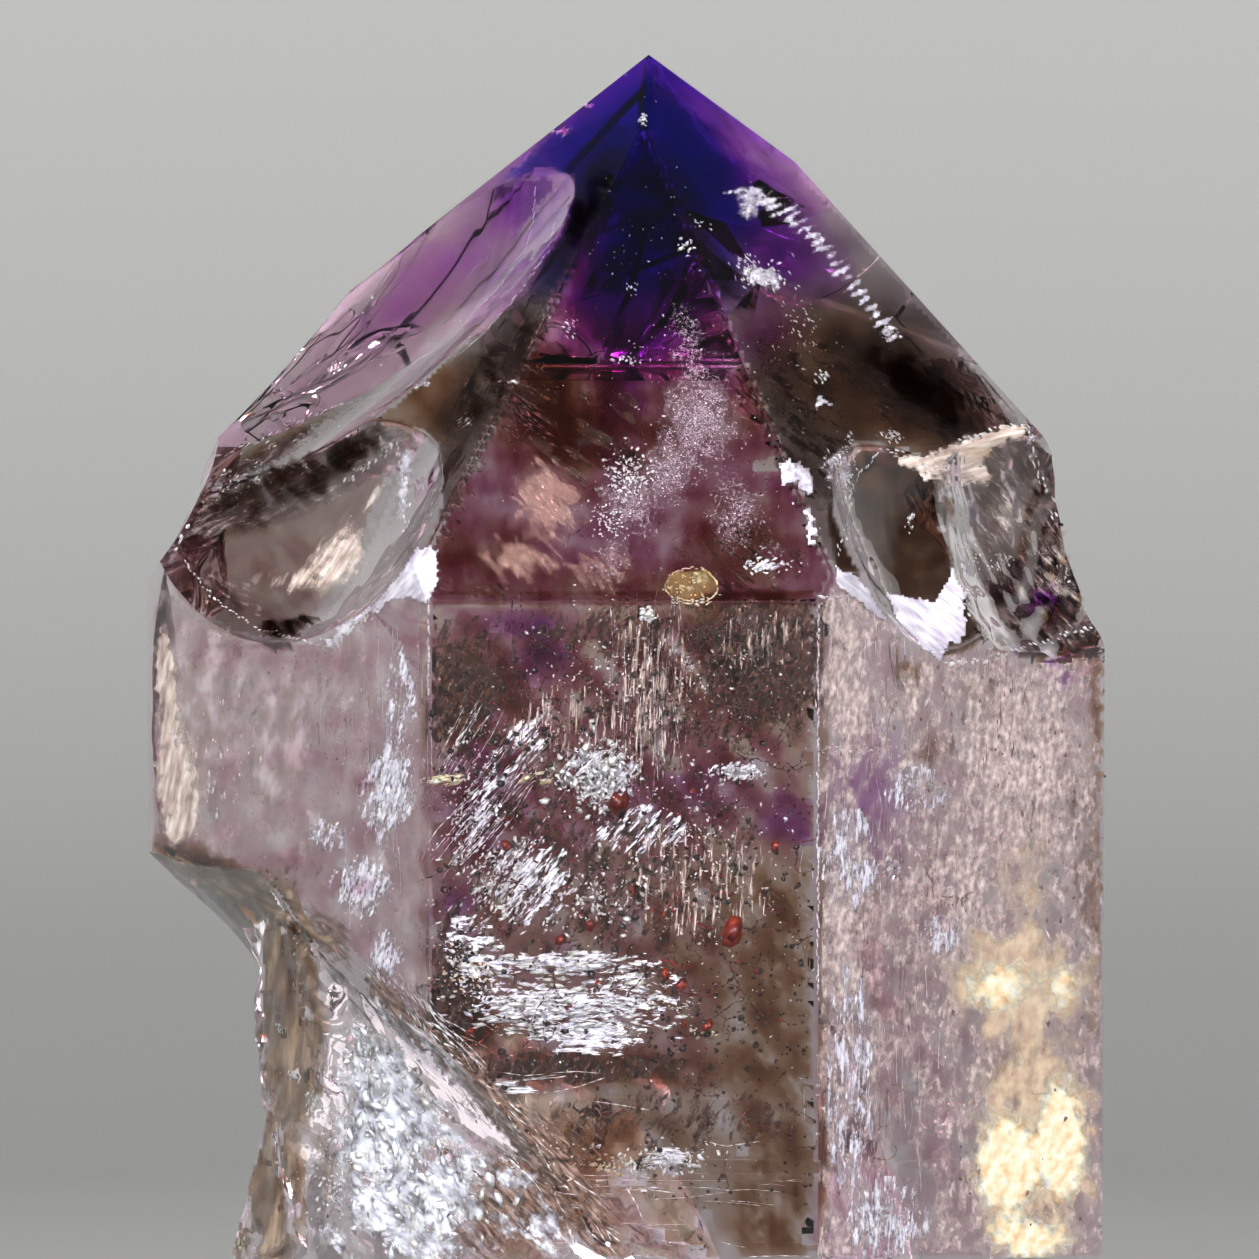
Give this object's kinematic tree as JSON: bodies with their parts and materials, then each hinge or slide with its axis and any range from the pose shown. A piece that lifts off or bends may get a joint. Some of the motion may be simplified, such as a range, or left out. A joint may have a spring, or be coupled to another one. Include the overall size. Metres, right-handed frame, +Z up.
{
  "type": "enhydro amethyst crystal point",
  "caption": "Upright amethyst point with a six-sided prism, pyramid tip, chipped shoulders and a narrowed lumpy stem on one side, standing on a flat cut root.",
  "frame": {"origin": "middle of the flat cut that the crystal stands on", "axes": "+Z up the crystal's long axis to its tip, -Y out of the broad front prism face"},
  "size_m": [0.0342, 0.0324, 0.0582],
  "materials": {
    "amethyst": "clear quartz, deep violet at the tip, smoky lilac in the prism",
    "inclusions": "iron oxide flakes, needles and dots inside the quartz",
    "veils": "healed fractures and fluid films that glint silver and white inside the quartz"
  },
  "bodies": {
    "root": {"amethyst_crystal": "amethyst"}
  },
  "joints": []
}
